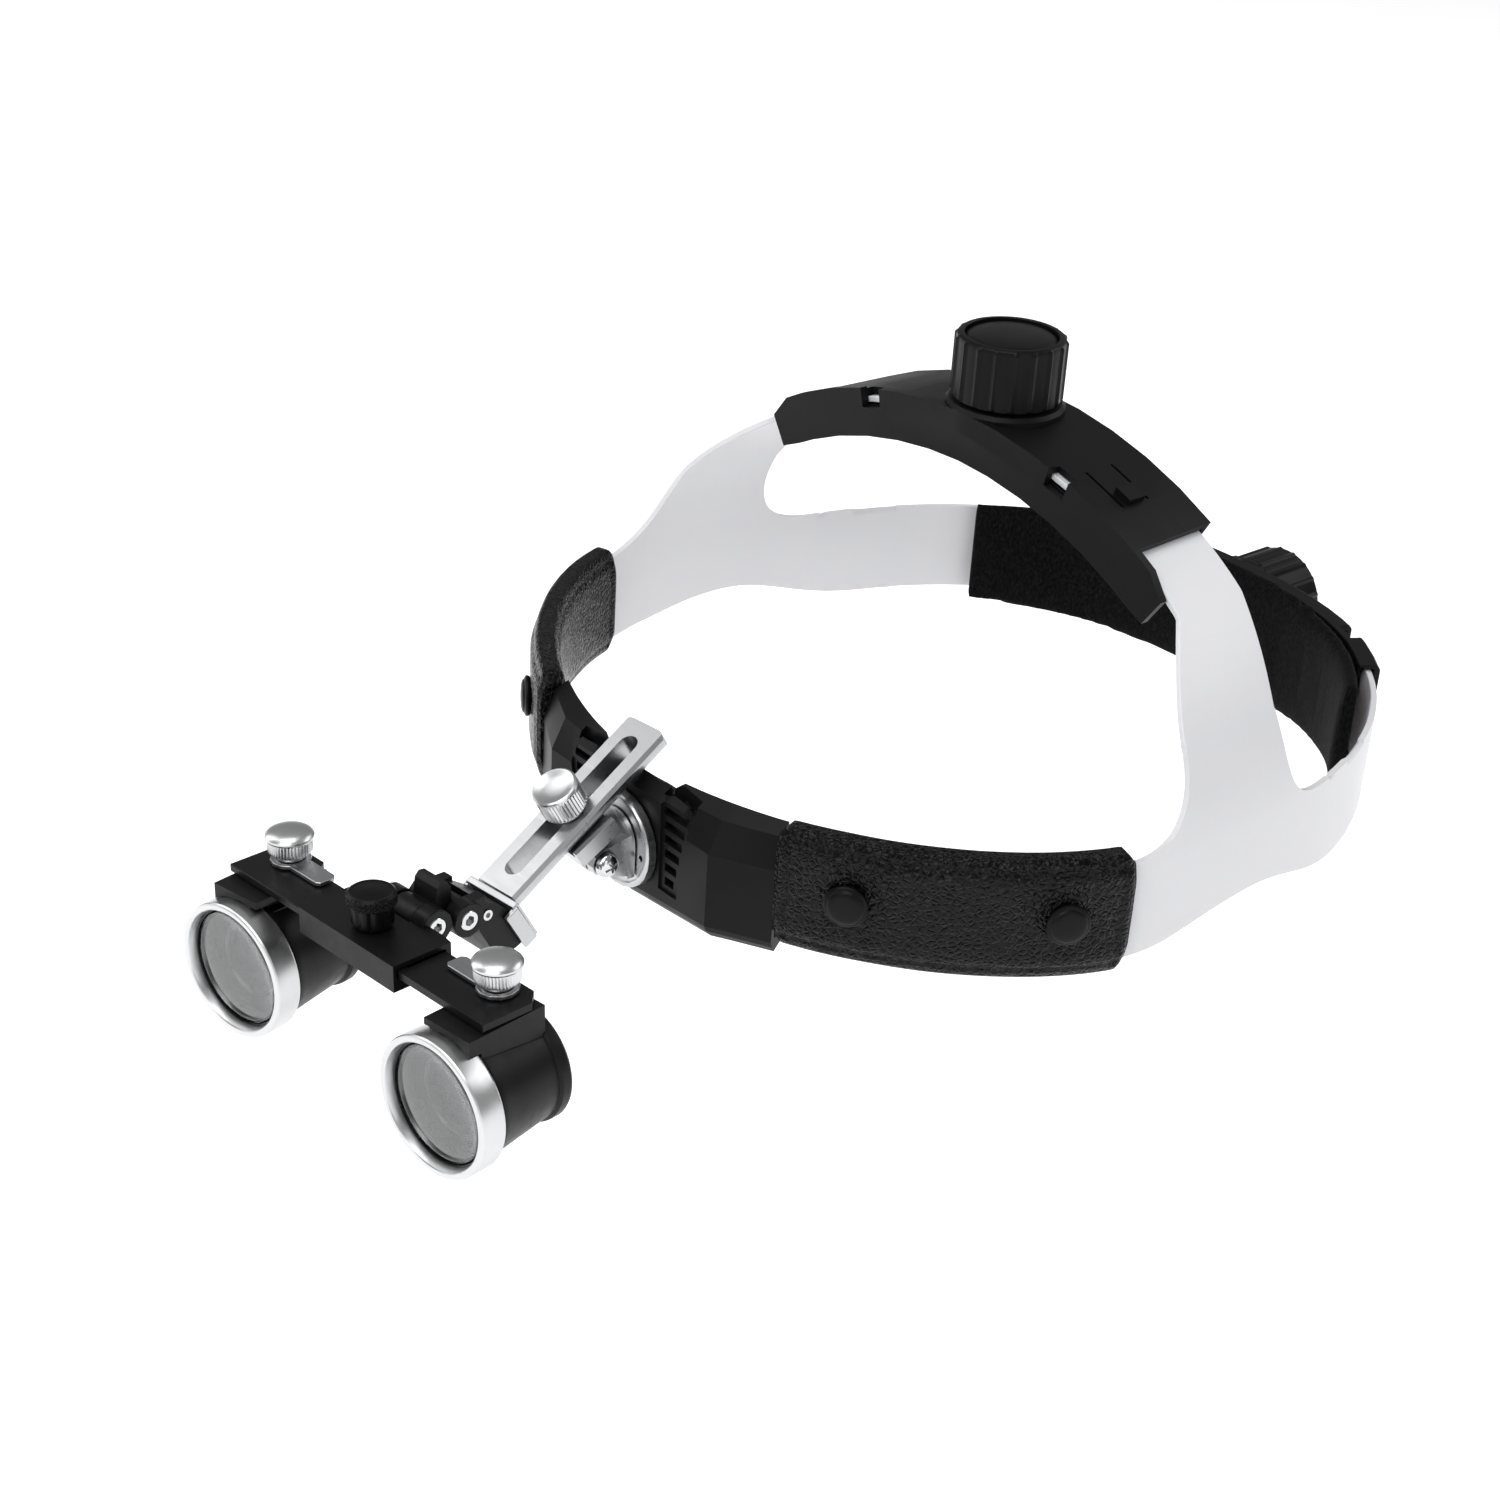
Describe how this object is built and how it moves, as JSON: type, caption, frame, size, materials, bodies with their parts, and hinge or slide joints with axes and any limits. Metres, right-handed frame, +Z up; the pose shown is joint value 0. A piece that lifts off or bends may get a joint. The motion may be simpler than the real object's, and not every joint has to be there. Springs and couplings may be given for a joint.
{
  "type": "dental loupes",
  "caption": "Flip-up magnifying loupes carried on a tilting slotted arm at the brow of a padded, ratchet-adjusted headband.",
  "frame": {"origin": "middle of the headband, where the wearer's head sits, at the height of the band's middle", "axes": "the wearer faces -Y, the wearer's left is +X, +Z is up"},
  "size_m": [0.1812, 0.2952, 0.1254],
  "materials": {
    "black_plastic": "moulded, satin",
    "black_knob": "moulded, satin",
    "white_plastic": "glossy, slightly translucent",
    "leather": "fine grain",
    "foam": "open-cell foam",
    "velvet": "matt fabric over foam",
    "black_metal": "black anodised, satin",
    "silver_metal": "satin with polished edges",
    "chrome": "polished",
    "lens_glass": "coated"
  },
  "bodies": {
    "headband": {"brow_housing": "black_plastic", "brow_inner_cover": "black_plastic", "brow_pad": "foam", "leather_sleeve_left": "leather", "snap_front_left": "black_knob", "snap_rear_left": "black_knob", "side_frame_left": "white_plastic", "crown_strap_left": "white_plastic", "rear_strap_left": "white_plastic", "leather_sleeve_right": "leather", "snap_front_right": "black_knob", "snap_rear_right": "black_knob", "side_frame_right": "white_plastic", "crown_strap_right": "white_plastic", "rear_strap_right": "white_plastic", "mount_disc": "silver_metal", "clevis": "silver_metal", "tilt_screw": "chrome", "tilt_nut": "chrome"},
    "crown": {"crown_housing": "black_plastic", "crown_inner_cover": "black_plastic", "crown_pad": "foam"},
    "crown_dial": {"crown_knob": "black_knob", "crown_knob_cap": "black_knob", "crown_pinion": "black_knob"},
    "rear": {"rear_housing": "black_plastic", "rear_inner_cover": "black_plastic", "rear_pad": "velvet"},
    "rear_dial": {"rear_knob": "black_knob", "rear_knob_cap": "black_knob", "rear_pinion": "black_knob"},
    "arm": {"saddle": "silver_metal"},
    "stud": {"clamp_stud": "chrome"},
    "thumb": {"thumb_knob": "silver_metal"},
    "bar": {"slotted_bar": "silver_metal", "bar_foot": "silver_metal", "hinge_block": "black_metal", "set_screw": "chrome", "hinge_pin_rear": "chrome"},
    "link": {"hinge_link": "black_metal"},
    "loupe_bridge": {"bridge": "black_metal", "hinge_pin_front": "chrome"},
    "ipd_dial": {"ipd_knob": "black_knob", "ipd_pinion": "chrome"},
    "slide_left": {"slide_bar_left": "black_metal", "clamp_strip_left": "silver_metal"},
    "slide_right": {"slide_bar_right": "black_metal", "clamp_strip_right": "silver_metal"},
    "clamp_left": {"clamp_knob_left": "silver_metal"},
    "clamp_right": {"clamp_knob_right": "silver_metal"},
    "loupe_left": {"bracket_left": "black_metal", "barrel_left": "black_metal", "bezel_left": "silver_metal", "objective_left": "lens_glass", "eyepiece_left": "lens_glass"},
    "loupe_right": {"bracket_right": "black_metal", "barrel_right": "black_metal", "bezel_right": "silver_metal", "objective_right": "lens_glass", "eyepiece_right": "lens_glass"}
  },
  "joints": [
    {"name": "arm_tilt", "type": "hinge", "parent": "headband", "child": "arm", "pos_m": [0, -0.082, -0.0048], "axis": [1, 0, 0], "range_deg": [-2, 30]},
    {"name": "bar_swing", "type": "hinge", "parent": "arm", "child": "stud", "pos_m": [0, -0.087, 0.0067], "axis": [0, -0.5, 0.866], "range_deg": [-17, 7]},
    {"name": "thumb_knob_turn", "type": "hinge", "parent": "stud", "child": "thumb", "pos_m": [0, -0.087, 0.0067], "axis": [0, -0.5, 0.866], "continuous": true},
    {"name": "bar_slide", "type": "slide", "parent": "stud", "child": "bar", "axis": [0.0872, -0.8627, -0.4981], "range_m": [-0.002, 0.014]},
    {"name": "flip_rear", "type": "hinge", "parent": "bar", "child": "link", "pos_m": [0.0029, -0.11909, -0.00404], "axis": [0.9962, 0.0755, 0.0436], "range_deg": [-45, 10]},
    {"name": "flip_front", "type": "hinge", "parent": "link", "child": "loupe_bridge", "pos_m": [0.00344, -0.12707, -0.00262], "axis": [0.9962, 0.0755, 0.0436], "range_deg": [-45, 10]},
    {"name": "ipd_turn", "type": "hinge", "parent": "loupe_bridge", "child": "ipd_dial", "pos_m": [0.00413, -0.13684, -0.00141], "axis": [-0.0436, -0.0016, 0.999], "range_deg": [-77, 77]},
    {"name": "slide_left_shift", "type": "slide", "parent": "loupe_bridge", "child": "slide_left", "axis": [0.9962, 0.0755, 0.0436], "range_m": [-0.004, 0.004]},
    {"name": "slide_right_shift", "type": "slide", "parent": "loupe_bridge", "child": "slide_right", "axis": [-0.9962, -0.0755, -0.0436], "range_m": [-0.004, 0.004]},
    {"name": "clamp_knob_left_turn", "type": "hinge", "parent": "slide_left", "child": "clamp_left", "pos_m": [0.0372, -0.13013, -0.00246], "axis": [-0.0436, -0.0016, 0.999], "continuous": true},
    {"name": "clamp_knob_right_turn", "type": "hinge", "parent": "slide_right", "child": "clamp_right", "pos_m": [-0.02935, -0.13517, -0.00537], "axis": [-0.0436, -0.0016, 0.999], "continuous": true},
    {"name": "barrel_turn_left", "type": "hinge", "parent": "slide_left", "child": "loupe_left", "pos_m": [0.0372, -0.13013, -0.00246], "axis": [-0.0436, -0.0016, 0.999], "range_deg": [-8, 8]},
    {"name": "barrel_turn_right", "type": "hinge", "parent": "slide_right", "child": "loupe_right", "pos_m": [-0.02935, -0.13517, -0.00537], "axis": [-0.0436, -0.0016, 0.999], "range_deg": [-8, 8]},
    {"name": "crown_knob_turn", "type": "hinge", "parent": "crown", "child": "crown_dial", "pos_m": [0, 0.03, 0.0733], "axis": [0, 0, 1], "range_deg": [-62, 121]},
    {"name": "crown_shift", "type": "slide", "parent": "headband", "child": "crown", "axis": [0, 0, 1], "range_m": [-0.0063, 0.0032], "deforming": ["crown_strap_left", "crown_strap_right"]},
    {"name": "rear_knob_turn", "type": "hinge", "parent": "rear", "child": "rear_dial", "pos_m": [0, 0.1254, -0.0024], "axis": [0, 1, 0], "range_deg": [-121, 62]},
    {"name": "rear_shift", "type": "slide", "parent": "headband", "child": "rear", "axis": [0, 1, 0], "range_m": [-0.0063, 0.0032], "deforming": ["rear_strap_left", "rear_strap_right"]}
  ],
  "couplings": [
    {"joint": "ipd_turn", "follows": "slide_left_shift", "rad_per_m": 333.33},
    {"joint": "slide_right_shift", "follows": "slide_left_shift", "ratio": 1},
    {"joint": "crown_knob_turn", "follows": "crown_shift", "rad_per_m": -333.33},
    {"joint": "rear_knob_turn", "follows": "rear_shift", "rad_per_m": 333.33}
  ]
}
